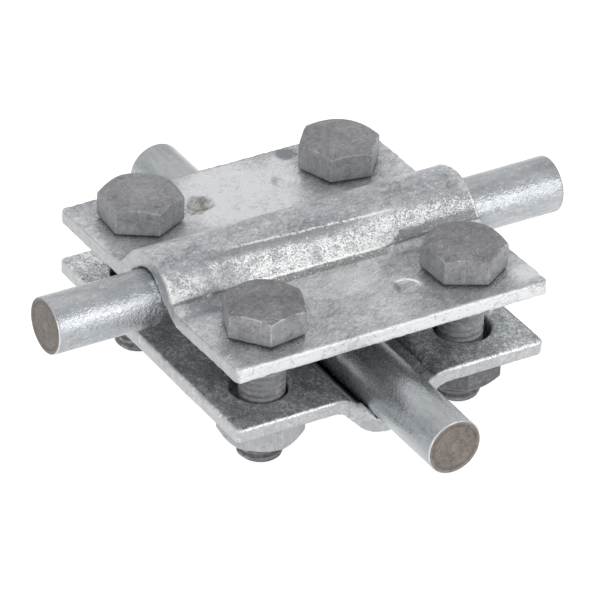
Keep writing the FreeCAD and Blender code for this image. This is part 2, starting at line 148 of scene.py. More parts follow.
def turned_solid(name, outline, around=96):
    """Round solid about Z: a ring drawn through the outline's radii and heights, closed."""
    (radius, height), *steps = outline
    bpy.ops.mesh.primitive_circle_add(
        vertices=around, radius=radius * MM, fill_type="NOTHING", location=(0, 0, height * MM))
    piece = bpy.context.object
    piece.name = name
    settle(piece)
    edit(piece, "EDGE")
    bpy.ops.mesh.edge_face_add()
    for next_radius, next_height in steps:
        bpy.ops.mesh.extrude_edges_move(
            TRANSFORM_OT_translate={"value": (0, 0, (next_height - height) * MM)})
        growth = next_radius / radius
        bpy.ops.transform.resize(
            value=(growth, growth, 1), center_override=(0, 0, next_height * MM))
        radius, height = next_radius, next_height
    bpy.ops.mesh.edge_face_add()
    leave_closed()
    return piece


def hex_prism(name, low, high):
    """Hexagonal bar about Z with one corner on X."""
    bpy.ops.mesh.primitive_cylinder_add(
        vertices=6, radius=HEX_CORNER * MM, depth=(high - low) * MM,
        location=(0, 0, (low + high) / 2 * MM), rotation=(0, 0, math.radians(30)))
    piece = bpy.context.object
    piece.name = name
    return settle(piece)


def placed_copy(template, name, matrix):
    """A copy of a template with its own mesh, its place put into that mesh."""
    piece = bpy.data.objects.new(name, template.data.copy())
    bpy.context.scene.collection.objects.link(piece)
    piece.matrix_world = matrix
    settle(piece)

    # Edit mode rebuilds the mesh, so it shares no memory with its template; the export needs that
    edit(piece)
    leave_edit()
    return piece


# Shader expressions

class Value:
    """A socket in an expression: each operation on it adds the Math node for it."""

    def __init__(self, finish, socket):
        self.finish, self.socket = finish, socket

    def math(self, operation, *others, clamp=False):
        settings = {"operation": operation, "use_clamp": clamp}
        inputs = dict(enumerate((self,) + others))
        return self.finish.node("ShaderNodeMath", settings, inputs)

    def __add__(self, other):
        return self.math("ADD", other)

    def __sub__(self, other):
        return self.math("SUBTRACT", other)

    def __rsub__(self, other):
        return self.finish.node("ShaderNodeMath", {"operation": "SUBTRACT"}, {0: other, 1: self})

    def __mul__(self, other):
        return self.math("MULTIPLY", other)

    def __truediv__(self, other):
        return self.math("DIVIDE", other)

    def __abs__(self):
        return self.math("ABSOLUTE")

    __radd__, __rmul__ = __add__, __mul__

    def held(self):
        """The same value, kept from 0 to 1."""
        return self.math("MULTIPLY", 1.0, clamp=True)

    def distance(self, other):
        """How far off the point is where this value and the other one are 0."""
        return (self.math("POWER", 2) + other.math("POWER", 2)).math("SQRT")

    def between(self, low, high):
        """0 below low, 1 above high, smooth from one to the other; low may be the larger."""
        settings = {"interpolation_type": "SMOOTHSTEP"}
        if low < high:
            return self.finish.node("ShaderNodeMapRange", settings, {0: self, 1: low, 2: high})
        inputs = {0: self, 1: high, 2: low, 3: 1.0, 4: 0.0}
        return self.finish.node("ShaderNodeMapRange", settings, inputs)


class Finish:
    """The nodes of a new material, or of the world, under construction."""

    def __init__(self, owner):
        owner.use_nodes = True
        self.owner, self.tree = owner, owner.node_tree
        self.tree.nodes.clear()

    def node(self, kind, settings=None, inputs=None, output=0):
        """Add a node: its settings, then values or links of its sockets. Gives one output."""
        node = self.tree.nodes.new(kind)
        for name, value in (settings or {}).items():
            setattr(node, name, value)
        for key, value in (inputs or {}).items():
            if isinstance(value, Value):
                self.tree.links.new(value.socket, node.inputs[key])
            else:
                node.inputs[key].default_value = value
        return Value(self, node.outputs[output]) if node.outputs else None

    def place(self, where, turn):
        """Object coordinates in millimetres, in a frame of the piece's own."""
        raw = self.node("ShaderNodeTexCoord", output="Object")
        scaled = self.node("ShaderNodeVectorMath", {"operation": "SCALE"}, {0: raw, "Scale": 1 / MM})
        return self.node("ShaderNodeMapping", {"vector_type": "TEXTURE"},
                         {"Vector": scaled, "Location": where, "Rotation": turn})

    def remembered(self, name, output="Fac"):
        """An attribute of the mesh, as one number or as its Vector."""
        return self.node("ShaderNodeAttribute", {"attribute_name": name}, output=output)

    def parts(self, vector):
        """The three numbers of a vector."""
        node = self.node("ShaderNodeSeparateXYZ", inputs={0: vector}).socket.node
        return [Value(self, socket) for socket in node.outputs]

    def stretched(self, vector, stretch):
        return self.node(
            "ShaderNodeVectorMath", {"operation": "MULTIPLY"}, {0: vector, 1: stretch})

    def turned(self, vector, angle):
        """The same place in a frame turned about Z."""
        return self.node("ShaderNodeMapping", {"vector_type": "TEXTURE"},
                         {"Vector": vector, "Rotation": (0, 0, angle)})

    def noise(self, vector, size, detail=2.0, rough=0.5, twist=0.0):
        """Soft noise from 0 to 1, its features about size millimetres wide."""
        inputs = {"Vector": vector, "Scale": 1 / size, "Detail": detail, "Roughness": rough,
                  "Distortion": twist}
        return self.node("ShaderNodeTexNoise", None, inputs)

    def fibres(self, vector, size, angle):
        """Noise drawn out to short threads that lie at an angle to X."""
        drawn = self.stretched(self.turned(vector, angle), (0.35, 1.4, 1.0))
        return self.noise(drawn, size, twist=0.3)

    def blend(self, mask, first, second):
        """Colour that goes from the first to the second with the mask."""
        settings = {"data_type": "RGBA", "clamp_factor": True}
        inputs = {0: mask}
        for index, colour in ((6, first), (7, second)):
            inputs[index] = colour if isinstance(colour, Value) else (*colour, 1.0)
        return self.node("ShaderNodeMix", settings, inputs, 2)

    def skin(self, colour, roughness, height, metallic):
        """The surface itself; the height is in millimetres."""
        normal = self.node("ShaderNodeBump", None, {"Distance": MM, "Height": height})
        surface = self.node("ShaderNodeBsdfPrincipled", None, {
            "Base Color": colour, "Roughness": roughness, "Metallic": metallic,
            "Normal": normal})
        self.node("ShaderNodeOutputMaterial", None, {"Surface": surface})
        return self.owner


# Zinc on the plates

# Where the groove's foot is and how wide a pip, in millimetres; the ridge slants along the groove
GROOVE_FOOT, RIDGE, RIDGE_SLANT, PIP_RIM = 8.4, 3.82, 0.036, 2.35
FROM_VIEWER = (0.53, 0.85)

PALE_ZINC, CREAM_ZINC, BLUISH = (0.78, 0.79, 0.81), (0.58, 0.57, 0.52), (0.975, 1.0, 1.03)
WHITE_GRAIN, TARNISH = (0.86, 0.87, 0.88), (0.255, 0.258, 0.222)
FLANK_GREY, FLANK_WHITE = (0.33, 0.34, 0.35), (0.83, 0.835, 0.84)
UNDER_RIDGE_SHADE = (0.25, 0.26, 0.265)
RECESS_DARK, RECESS_GREY = (0.12, 0.135, 0.135), (0.30, 0.32, 0.32)
BAND_DARK, BAND_SPECK = (0.19, 0.19, 0.18), (0.7, 0.7, 0.68)
LIT_LINE, FOOT_CREASE_SHADE = (0.93, 0.93, 0.93), (0.10, 0.105, 0.10)
TORN_GREY, TORN_WHITE = (0.42, 0.43, 0.445), (0.775, 0.78, 0.79)
RUN_ZINC, SHADED_EDGE, PIP_GLEAM = (0.80, 0.84, 0.86), (0.16, 0.165, 0.17), (0.95, 0.95, 0.95)
SCRAPE_DARK, SCRAPE_BRIGHT = (0.17, 0.18, 0.18), (0.92, 0.93, 0.94)
OLIVE_ZINC, WASHED_ZINC = (0.27, 0.265, 0.225), (0.62, 0.64, 0.65)


class PlateZinc(Finish):
    """Zinc on a pressed plate, worked out along its groove, across it and up from its axis."""

    def __init__(self, name, where, turn):
        super().__init__(bpy.data.materials.new(name))
        here = self.here = self.place(where, turn)
        self.along, self.across, self.up = self.parts(here)
        self.off_centre = abs(self.across)
        self.into_mouth = HALF_LENGTH - abs(self.along)

        self.cloud = self.noise(here, 7.0, detail=3.0, rough=0.55, twist=0.4)
        self.mottle = self.noise(here, 1.6, detail=4.0, rough=0.62, twist=0.6)
        self.grain = self.noise(here, 0.34, rough=0.6)
        self.speckle = self.noise(here, 0.24, detail=1.0)
        self.streak = self.noise(
            self.stretched(here, (0.10, 1.0, 1.0)), 0.7, detail=3.0, rough=0.6, twist=0.3)
        self.scrape = self.noise(
            self.stretched(here, (0.5, 1.6, 1.0)), 0.9, detail=3.0, rough=0.6, twist=1.8)
        self.run = self.noise(here, 4.2, twist=1.8)
        self.threads, self.cross_threads = self.fibres(here, 0.55, 0.6), self.fibres(here, 0.55, -0.5)
        self.wander = (self.mottle - 0.5) * 1.6 + (self.cloud - 0.5) * 2.0

        # Millimetres outside the groove's foot, and below the ridge on top of its front flank
        self.beside = self.off_centre - (GROOVE_FOOT + self.wander * 0.14)
        self.ridge = (self.across * -1.0 - RIDGE - self.along * RIDGE_SLANT
                      + self.wander * 0.24)

        self.flank = ((self.off_centre + self.wander * 0.4).between(4.0, 5.4)
                      * self.beside.between(0.1, -0.4))
        self.crown = self.off_centre.between(4.8, 2.6)
        self.sheared = (HALF_WIDTH - self.off_centre + (self.mottle - 0.5) * 1.1
                        + (self.grain - 0.5) * 0.5).between(0.42, 0.12)
        self.mouth_face = self.into_mouth.between(0.30, 0.10)

    def reach_from(self, x, y):
        """How far off a place on the plate the point is."""
        return (self.along - x).distance(self.across - y)

    def wing_tone(self, pale_towards):
        """Soft tones of the wings, streaks along the crown: 0 is dark, 1 is pale."""
        back_slope = (self.across.between(-3.0, 0.5) * self.across.between(7.0, 4.5)
                      * self.along.between(22.0, 6.0))
        to_end = self.into_mouth if pale_towards == "mouths" else HALF_WIDTH + self.across
        pale_end = to_end.between(3.0, 0.8) * (0.12 + (self.mottle - 0.5) * 0.8)
        run_shore = abs(self.run - 0.515).between(0.020, 0.004)
        return (0.38 + (self.cloud - 0.5) * 0.85 + (self.mottle - 0.5) * 0.65
                + (self.grain - 0.5) * 0.6 + (self.speckle - 0.5) * 0.4
                + self.crown * (self.streak - 0.5) * 0.5 - self.crown * 0.09 + back_slope * 0.08
                + pale_end + self.run.between(0.50, 0.53) * 0.11 - run_shore * 0.18
                + self.threads.between(0.54, 0.70) * 0.20
                + self.cross_threads.between(0.56, 0.72) * 0.16
                - self.threads.between(0.42, 0.30) * 0.18)

    def spots(self, stains, puddles):
        """How much darker the soft stains and the sharp puddles on one wing make the tone."""
        depths = []
        for x, y, radius, depth in puddles:
            reach = self.reach_from(x, y) + self.wander + (self.run - 0.5) * 4.0
            inside = reach.between(radius + 0.12, radius - 0.12)
            depths.append(depth * inside * self.across.between(-9.0, -9.6))
        for x, y, radius, depth in stains:
            reach = self.reach_from(x, y) + self.wander * radius * 0.12
            depths.append(depth * reach.between(radius, radius * 0.45) * (0.5 + self.mottle))
        return sum(depths)

    def soil(self, shade, soiled, tarnished):
        """Dark pepper and white grain about some places, olive tarnish on others."""
        fine = self.speckle * 0.6 + self.grain * 0.4
        pepper = (fine + (self.mottle - 0.5) * 0.5).between(0.53, 0.62)
        white_grain = (fine + (self.mottle - 0.5) * 0.3).between(0.47, 0.38)
        for x, y, radius, depth, colour in soiled:
            reach = self.reach_from(x, y) + self.wander * radius * 0.08
            near = reach.between(radius, radius * 0.85) * depth
            shade = self.blend(near * white_grain * 0.8, shade, WHITE_GRAIN)
            shade = self.blend(near * pepper, shade, colour)
        patchy = (0.28 + 0.32 * self.threads.between(0.60, 0.42)
                  + 0.34 * self.mottle.between(0.58, 0.44))
        for x, y, radius in tarnished:
            near = (self.reach_from(x, y) + self.wander * 0.35).between(radius, radius * 0.7)
            shade = self.blend(near * patchy, shade, TARNISH)
        return shade

    def flanks(self, shade, spots):
        """Grainy flanks, painted shade just under the ridge, and a smooth recess at the front foot."""
        worms = self.noise(self.here, 0.52, detail=1.0, twist=1.6)
        salt = (worms * 0.65 + self.speckle * 0.35 + (self.mottle - 0.5) * 0.35
                + (self.cloud - 0.5) * 0.25 - self.along.between(17.0, 24.0) * 0.05)
        grainy = self.blend(salt.between(0.38, 0.60), FLANK_GREY, FLANK_WHITE)
        cover = 0.35 + 0.65 * (self.cloud - spots * 0.4).between(0.34, 0.46)
        shade = self.blend(self.flank * cover, shade, grainy)
        # Painted shade just under the ridge
        ridge_shade = (self.ridge.between(0.1, 0.4) * self.ridge.between(1.9, 1.0)
                  * self.along.between(14.0, 2.0) * self.along.between(-24.0, -17.0))
        shade = self.blend(ridge_shade * (0.42 + self.mottle * 0.5), shade, UNDER_RIDGE_SHADE)
        recess_top = self.across + 7.0 + 1.6 * self.along.between(15.5, 11.5) + self.wander * 0.15
        recess = (recess_top.between(0.4, -0.4) * self.along.between(10.8, 12.4)
                  * self.beside.between(0.15, -0.15))
        return self.blend(recess * 0.85, shade, self.blend(self.mottle, RECESS_DARK, RECESS_GREY))

    def groove_lines(self, shade):
        """A speckled band outside the foot, painted highlights on foot and ridge, painted shade in the
        foot's crease at the ends.
        """
        band = (self.beside.between(-0.12, 0.12) * self.beside.between(1.5, 0.95)
                * self.cloud.between(0.28, 0.44)
                * (0.35 + 0.65 * self.along.between(-24.0, -19.0))
                * (1.0 - 0.85 * self.along.between(10.8, 12.6)))
        speckled = self.blend(self.speckle.between(0.56, 0.70), BAND_DARK, BAND_SPECK)
        shade = self.blend(band * 0.75, shade, speckled)
        lit_foot = (abs(self.beside + 0.22).between(0.22, 0.05)
                    * (self.grain + self.mottle).between(0.72, 0.95)
                    * self.along.between(12.0, 10.5) * self.along.between(-17.5, -15.5))
        lit_ridge = (abs(self.ridge).between(0.24, 0.08) * self.grain.between(0.36, 0.46)
                     * self.along.between(-18.0, -13.0) * self.along.between(18.0, 12.0)
                     * self.mottle.between(0.36, 0.44))
        shade = self.blend(((lit_foot + lit_ridge) * 0.85).held(), shade, LIT_LINE)
        # Painted shade in the crease at the groove's foot, towards both ends
        crease_shade_right = abs(self.beside).between(0.20, 0.06) * self.along.between(10.5, 12.5)
        crease_shade_left = abs(self.beside - 0.05).between(0.30, 0.10) * self.along.between(-15.0, -17.5)
        return self.blend((crease_shade_right + crease_shade_left) * 0.6, shade, FOOT_CREASE_SHADE)

    def cut_edges(self, shade, shearing, calm_tones):
        """Sheared edges torn and whitish, mouths' faces calm, zinc run along the mouths' lips."""
        tearing = self.mottle * 0.5 + self.grain * 0.35 + self.cloud * 0.15
        torn = self.blend(tearing.between(0.36, 0.50), TORN_GREY, TORN_WHITE)
        low, high = ([tone * tint for tint in BLUISH] for tone in calm_tones)
        calm = self.blend(self.mottle, low, high)
        edge = self.blend(shearing * self.cloud.between(0.22, 0.40), calm, torn)
        shade = self.blend(self.sheared, shade, edge)
        shade = self.blend(self.mouth_face * 0.85, shade, calm)
        from_rod = self.across.distance(self.up)
        lip = (from_rod.between(6.1, 5.7) * self.into_mouth.between(1.4, 0.6)
               * self.across.between(-1.5, -2.5))
        turned_edge = (self.into_mouth.between(0.72, 0.52) * self.into_mouth.between(0.20, 0.36)
                       * self.flank)
        run_together = (lip + turned_edge) * self.grain.between(0.36, 0.50)
        shade = self.blend(run_together, shade, RUN_ZINC)
        back_edge = (HALF_WIDTH - self.across).between(0.75, 0.35)
        return self.blend(back_edge * 0.6, shade, SHADED_EDGE)

    def pip_gleams(self, shade, pips):
        """A bright arc on the rim of a pressed pip, on the side away from the viewer."""
        right, back = FROM_VIEWER
        for x, y in pips:
            reach = self.reach_from(x, y)
            facing = ((self.along - x) * right + (self.across - y) * back) / reach
            arc = (abs(reach - PIP_RIM).between(0.26, 0.10) * facing.between(0.45, 0.65)
                   * self.grain.between(0.3, 0.45))
            shade = self.blend(arc, shade, PIP_GLEAM)
        return shade

    def scrapes(self, shade, flecks):
        """Dark and bright scrapes all over, and the flecks and painted edge highlight of a plate that
        has them.
        """
        marks = (self.scrape.between(0.40, 0.34) * self.grain.between(0.55, 0.40)
                 * (1 - self.flank) * (1 - self.sheared))
        shade = self.blend(marks * 0.45, shade, SCRAPE_DARK)
        bright = self.scrape.between(0.60, 0.67) * self.grain.between(0.4, 0.55) * 0.6
        if flecks:
            shade, flecks_and_edge_highlight = self.flecks_and_edge_highlight(shade, flecks)
            bright = bright + flecks_and_edge_highlight
        return self.blend(bright.held(), shade, SCRAPE_BRIGHT)

    def flecks_and_edge_highlight(self, shade, flecks):
        """Olive and washed patches; bright curls and crumbs, and a painted highlight along an end's top
        edge, are given back as a mask.
        """
        olive = self.mottle.between(0.48, 0.64) * self.cloud.between(0.42, 0.56)
        shade = self.blend(olive * flecks * 0.5, shade, OLIVE_ZINC)
        curl = self.noise(self.here, 2.4, twist=2.4)
        washed = ((curl * 0.6 + self.cloud * 0.4).between(0.50, 0.56)
                  * (self.mottle + self.grain * 0.3).between(0.52, 0.66))
        shade = self.blend(washed * flecks * 0.45, shade, WASHED_ZINC)
        curls = (abs(curl - 0.5).between(0.026, 0.008) * self.mottle.between(0.42, 0.50)
                 * self.grain.between(0.38, 0.46))
        crumbs = (self.noise(self.here, 0.55, rough=0.6) + (self.mottle - 0.5) * 0.6
                  + (self.cloud - 0.5) * 0.5).between(0.58, 0.64)
        inside = (1 - self.sheared * 0.8) * (1 - self.mouth_face * 0.9)
        # Painted highlight along the top edge at the mouth's end
        edge_highlight = (self.into_mouth.between(0.55, 0.30) * self.up.between(-0.25, -0.65)
                    * self.off_centre.between(11.0, 12.0) * self.grain.between(0.44, 0.52))
        return shade, (curls + crumbs) * flecks * inside + edge_highlight * 0.8

    def coat(self, shade):
        """The finished coat: duller and less metallic where sheared, rough on the flanks."""
        roughness = 0.40 + (self.mottle - 0.5) * 0.3 + (self.grain - 0.5) * 0.2
        metallic = 0.78 - 0.45 * self.sheared
        height = ((self.cloud - 0.5) * 0.10 + (self.mottle - 0.5) * 0.09
                  + (self.streak - 0.5) * self.crown * 0.05
                  + (self.threads + self.cross_threads - 1.0) * 0.05
                  + self.run.between(0.50, 0.53) * 0.012
                  + (self.grain - 0.5) * (0.03 + 0.06 * self.sheared)
                  + (self.speckle - 0.5) * self.flank * 0.08)
        return self.skin(shade, roughness, height, metallic)


def galvanised_plate(name, where, turn, dark, stains, soiled, pale_towards, shearing=1.0,
                     flecks=0.0, pips=(), calm_tones=(0.36, 0.58), puddles=(), tarnished=()):
    """Hot-dip zinc on one plate, paler towards its mouths or its edge at low across.

    The shearing is how torn the sheared edges are, and the flecks how scraped the plate is;
    the calm tones are the dark and the light one of the edges that are not torn.
    """
    zinc = PlateZinc(name, where, turn)
    spots = zinc.spots(stains, puddles)
    shade = zinc.blend(zinc.wing_tone(pale_towards) - spots, dark, PALE_ZINC)
    creamy = zinc.mottle.between(0.56, 0.72) * zinc.cloud.between(0.35, 0.6)
    shade = zinc.blend(creamy * 0.3, shade, CREAM_ZINC)
    shade = zinc.soil(shade, soiled, tarnished)
    shade = zinc.flanks(shade, spots)
    shade = zinc.groove_lines(shade)
    shade = zinc.cut_edges(shade, shearing, calm_tones)
    shade = zinc.pip_gleams(shade, pips)
    shade = zinc.scrapes(shade, flecks)
    return zinc.coat(shade)


# Zinc and bare steel on the conductors

PALE_BAR, BAR_FLECK, MOUTH_REFLECTION = (0.60, 0.612, 0.635), (0.88, 0.89, 0.90), (0.84, 0.90, 0.93)
LIT_RIM, SHADED_FAR_RIM = (0.84, 0.84, 0.83), (0.10, 0.09, 0.08)
STEEL_DARK = (0.085, 0.070, 0.060)


def galvanised_rod(name, axis_height, turn, dark, lit_side, coarse):
    """Hot-dip zinc on a drawn bar: soft streaks along it, and grain and threads as coarse as told."""
    zinc = Finish(bpy.data.materials.new(name))
    place = zinc.place((0, 0, axis_height), turn)
    along, across, up = zinc.parts(place)
    cloud = zinc.noise(
        zinc.stretched(place, (0.45, 1.0, 1.0)), 4.0, detail=3.0, rough=0.55, twist=0.5)
    streak = zinc.noise(
        zinc.stretched(place, (0.14, 1.0, 1.0)), 0.9, detail=3.0, rough=0.6, twist=0.4)
    mottle = zinc.noise(
        zinc.stretched(place, (0.6, 1.0, 1.0)), 0.9, detail=4.0, rough=0.6, twist=0.5)
    grain = zinc.noise(place, 0.30, rough=0.6)
    speckle = zinc.noise(place, 0.22, detail=1.0)
    threads, cross_threads = zinc.fibres(place, 0.45, 0.55), zinc.fibres(place, 0.45, -0.6)
    tone = (0.48 + (cloud - 0.5) * 1.0 + (streak - 0.5) * (1.0 - 0.5 * coarse)
            + (mottle - 0.5) * 0.7 * coarse + (grain - 0.5) * 0.5 * coarse
            + threads.between(0.52, 0.68) * 0.25 * coarse
            - cross_threads.between(0.44, 0.30) * 0.15 * coarse)
    shade = zinc.blend(tone, dark, PALE_BAR)
    flecks = mottle.between(0.62, 0.70) * speckle.between(0.48, 0.60)
    shade = zinc.blend(flecks * 0.6, shade, BAR_FLECK)

    # Painted reflection of the plate's mouth on the bar next to where it sits, painted highlight on the
    # end rims towards the light, and painted shade on the far end's rim
    run = (along.between(-31.4, -30.9) * along.between(-30.0, -30.4)
           * across.between(-1.8, -2.6) * across.between(-5.1, -4.7))
    shade = zinc.blend(run * mottle.between(0.44, 0.54), shade, MOUTH_REFLECTION)
    towards_light = across * lit_side[0] + up * lit_side[1] + (mottle - 0.5) * 9.0
    rim = (ROD_HALF - abs(along)).between(0.24, 0.10) * towards_light.between(1.5, 4.0)
    shade = zinc.blend(rim * 0.6, shade, LIT_RIM)
    shade = zinc.blend((along - ROD_HALF).between(-0.30, -0.16) * 0.7, shade, SHADED_FAR_RIM)

    roughness = 0.27 + (mottle - 0.5) * 0.25 + (grain - 0.5) * 0.2
    height = ((cloud - 0.5) * 0.06 + (streak - 0.5) * 0.02 + coarse * (
        (mottle - 0.5) * 0.07 + (threads + cross_threads - 1.0) * 0.09 + (grain - 0.5) * 0.05))
    return zinc.skin(shade, roughness, height, 0.82)


def bare_cut_steel(name, axis_height, turn, light):
    """Sawn and turned end of a bar: brownish grey rings about its axis."""
    steel = Finish(bpy.data.materials.new(name))
    place = steel.place((0, 0, axis_height), turn)
    _, across, up = steel.parts(place)
    reach = across.distance(up)
    mottle = steel.noise(place, 0.9, detail=4.0, rough=0.65)
    grain = steel.noise(place, 0.25, rough=0.6)
    rings = (reach * 11.0 + mottle * 2.5).math("SINE") * grain.between(0.3, 0.6)
    gleam = (across * up).between(0.6, 4.0) * reach.between(4.3, 3.4)
    groove = abs(reach + (mottle - 0.5) * 0.5 - 4.1).between(0.25, 0.05)
    tone = (0.40 + rings * 0.10 + (mottle - 0.5) * 1.3 + (grain - 0.5) * 0.8
            + 0.25 * reach.between(1.2, 0.2) + gleam * 0.10 - groove * 0.22
            + reach.between(4.2, 4.35) * 0.12)
    shade = steel.blend(tone, STEEL_DARK, light)
    height = rings * 0.006 + (grain - 0.5) * 0.02
    return steel.skin(shade, 0.5 + (mottle - 0.5) * 0.3, height, 0.45)


# Dull zinc on the fasteners

DULL_DARK, DULL_PALE = (0.115, 0.117, 0.125), (0.333, 0.334, 0.350)
LIT_DARK, LIT_PALE = (0.46, 0.465, 0.48), (0.76, 0.765, 0.79)
SHADED_ZINC, DENT_DARK, FOOT_SHADE_ZINC = (0.035, 0.035, 0.04), (0.11, 0.11, 0.115), (0.075, 0.075, 0.08)
SCRATCH_PALE, RUBBED_PALE = (0.50, 0.50, 0.52), (0.80, 0.80, 0.82)


def dull_zinc(name):
    """Matt grey zinc on heads, nuts and threads, rubbed on the corners, with painted light and shade by
    the side mark, and painted shade at the heads' foot.
    """
    zinc = Finish(bpy.data.materials.new(name))
    place = zinc.remembered("own_place", "Vector")
    light, wear, foot = (zinc.remembered(mark) for mark in ("side", "rubbed", "foot"))
    cloud = zinc.noise(place, 5.0, detail=3.0, rough=0.55, twist=0.4)
    mottle = zinc.noise(place, 0.9, detail=4.0, rough=0.62, twist=0.5)
    grain = zinc.noise(place, 0.30, rough=0.6)
    drawn = zinc.noise(zinc.stretched(place, (1.6, 1.6, 0.15)), 0.5)
    scratch = zinc.noise(zinc.stretched(place, (0.30, 2.0, 2.0)), 0.8, twist=1.6)
    swirl = zinc.noise(place, 2.2, detail=3.0, rough=0.6, twist=2.2)
    tone = (0.5 + (cloud - 0.5) * 0.7 + (mottle - 0.5) * 1.0 + (swirl - 0.5) * 0.8
            + (grain - 0.5) * 0.6 + (drawn - 0.5) * 0.5)
    shade = zinc.blend(tone, DULL_DARK, DULL_PALE)
    # Painted light: the side mark moves the zinc to lit tones, and below 0 to painted shade
    shade = zinc.blend(light, shade, zinc.blend(tone, LIT_DARK, LIT_PALE))
    shade = zinc.blend(light * -1.0, shade, SHADED_ZINC)
    lines = (scratch.between(0.60, 0.66) * mottle.between(0.42, 0.56)
             + abs(swirl - 0.5).between(0.022, 0.006) * cloud.between(0.46, 0.56))
    shade = zinc.blend(lines * 0.45, shade, SCRATCH_PALE)
    shade = zinc.blend(mottle.between(0.38, 0.31) * 0.55, shade, DENT_DARK)
    # Painted shade at the heads' foot, where they meet the plate
    shade = zinc.blend(foot * (0.35 + mottle * 0.7), shade, FOOT_SHADE_ZINC)
    rubbed = wear * cloud.between(0.46, 0.60) * mottle.between(0.38, 0.54)
    shade = zinc.blend(rubbed * 0.6 + wear * 0.16, shade, RUBBED_PALE)
    roughness = 0.54 + (mottle - 0.5) * 0.25 - rubbed * 0.15
    height = (mottle - 0.5) * 0.06 + (swirl - 0.5) * 0.10 + (grain - 0.5) * 0.02
    return zinc.skin(shade, roughness, height, 0.4)


# Plates

PLATE_VOXEL = 0.31
TORN_REACH = 1.6
BEAD_DEPTH, BEAD_LENGTH = 0.62, 0.8


def zinc_bead(place, size):
    """A drop of zinc, to be drowned in the plate it hangs on."""
    bpy.ops.mesh.primitive_ico_sphere_add(
        subdivisions=2, radius=MM, location=[c * MM for c in place], scale=size)
    return settle(bpy.context.object)


def coated_plate(node, name, to_world, beads, raggedness):
    """The pressed plate under its zinc: edges softened, the skin uneven, drops run together."""
    plate = bpy.data.objects.new(name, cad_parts[node].data.copy())
    bpy.context.scene.collection.objects.link(plate)
    edit(plate, "VERT")
    bpy.ops.mesh.remove_doubles(threshold=0.0005 * MM)
    leave_edit()
    drops = [zinc_bead(to_world @ Vector(place), size) for place, size in beads]
    only(*drops, plate)
    bpy.ops.object.join()
    finish_with(plate, "REMESH", mode="VOXEL", voxel_size=PLATE_VOXEL * MM)
    finish_with(plate, "SMOOTH", factor=0.5, iterations=2)
    near_edge = plate.vertex_groups.new(name="sheared_edges")
    to_plate = to_world.inverted()
    for vertex in plate.data.vertices:
        spot = to_plate @ (vertex.co / MM)
        gap = min(HALF_LENGTH - abs(spot.x), HALF_WIDTH - abs(spot.y))
        near_edge.add([vertex.index], max(0.0, 1.0 - max(gap, 0.0) / TORN_REACH), "REPLACE")
    uneven(plate, SLOW_WAVES, 0.16)
    uneven(plate, ZINC_LUMPS, 0.10)
    uneven(plate, FINE_LUMPS, raggedness, "sheared_edges")
    plate.vertex_groups.clear()
    plate.data.materials.clear()
    only(plate)
    bpy.ops.object.shade_smooth()
    return plate


def arch_skin(travel):
    """Half-section of a mouth's inner skin: place after going this far down from its top."""
    flat, arc = MOUTH_FLAT, MOUTH_RADIUS * FLANK_TURN
    turn = min(max(travel - flat, 0.0) / MOUTH_RADIUS, FLANK_TURN)
    beyond = max(travel - flat - arc, 0.0)
    across = min(travel, flat) + MOUTH_RADIUS * math.sin(turn) + beyond * math.cos(FLANK_TURN)
    up = MOUTH_RADIUS * math.cos(turn) - beyond * math.sin(FLANK_TURN)
    return across, MOUTH_DEPTH - MOUTH_RADIUS + up


def arch_beads(end, side, spread):
    """Zinc run together along one inner edge of a mouth: how far down, and how thick."""
    beads = []
    for travel, size in spread:
        across, up = arch_skin(travel)
        place = (end * (HALF_LENGTH - BEAD_DEPTH), side * across, up)
        beads.append((place, (BEAD_LENGTH, size, size)))
    return beads


UPPER_PLACE = (Matrix.Translation((0, 0, UPPER_AXIS)) @ Matrix.Rotation(-PLATE_ROCK, 4, "X")
               @ Matrix.Translation((0, 0, -AXIS_IN_PLATE)))
LOWER_PLACE = (Matrix.Translation((0, 0, LOWER_AXIS)) @ Matrix.Rotation(math.pi / 2, 4, "Z")
               @ Matrix.Rotation(math.pi, 4, "X") @ Matrix.Translation((0, 0, -AXIS_IN_PLATE)))

upper_plate = coated_plate(
    "upper_clamp_plate", "upper_plate_zinc_coated", UPPER_PLACE,
    arch_beads(-1, -1, [(0.4, 0.26), (1.2, 0.28), (2.0, 0.30), (2.8, 0.42), (3.5, 0.58), (4.2, 0.46),
                        (4.9, 0.64), (5.6, 0.48), (6.4, 0.6), (7.1, 0.5)])
    + arch_beads(-1, 1, [(0.4, 0.28), (1.2, 0.34), (2.0, 0.40), (2.8, 0.46), (3.6, 0.5), (4.4, 0.5)])
    + arch_beads(1, -1, [(3.6, 0.4), (4.4, 0.5), (5.4, 0.5)]), raggedness=0.38)
lower_plate = coated_plate(
    "lower_clamp_plate", "lower_plate_zinc_coated", LOWER_PLACE,
    arch_beads(-1, -1, [(4.0, 0.42), (4.8, 0.52), (5.5, 0.58), (6.2, 0.60), (6.9, 0.58), (7.6, 0.5)])
    + arch_beads(1, 1, [(4.2, 0.4), (5.1, 0.5)]), raggedness=0.2)

# A mark is given as along, across, radius and strength, a soiled place with its colour. Stains
# and puddles darken the zinc, and those below 0 in strength make it paler.
HEAD_DIRT = (0.13, 0.135, 0.14)
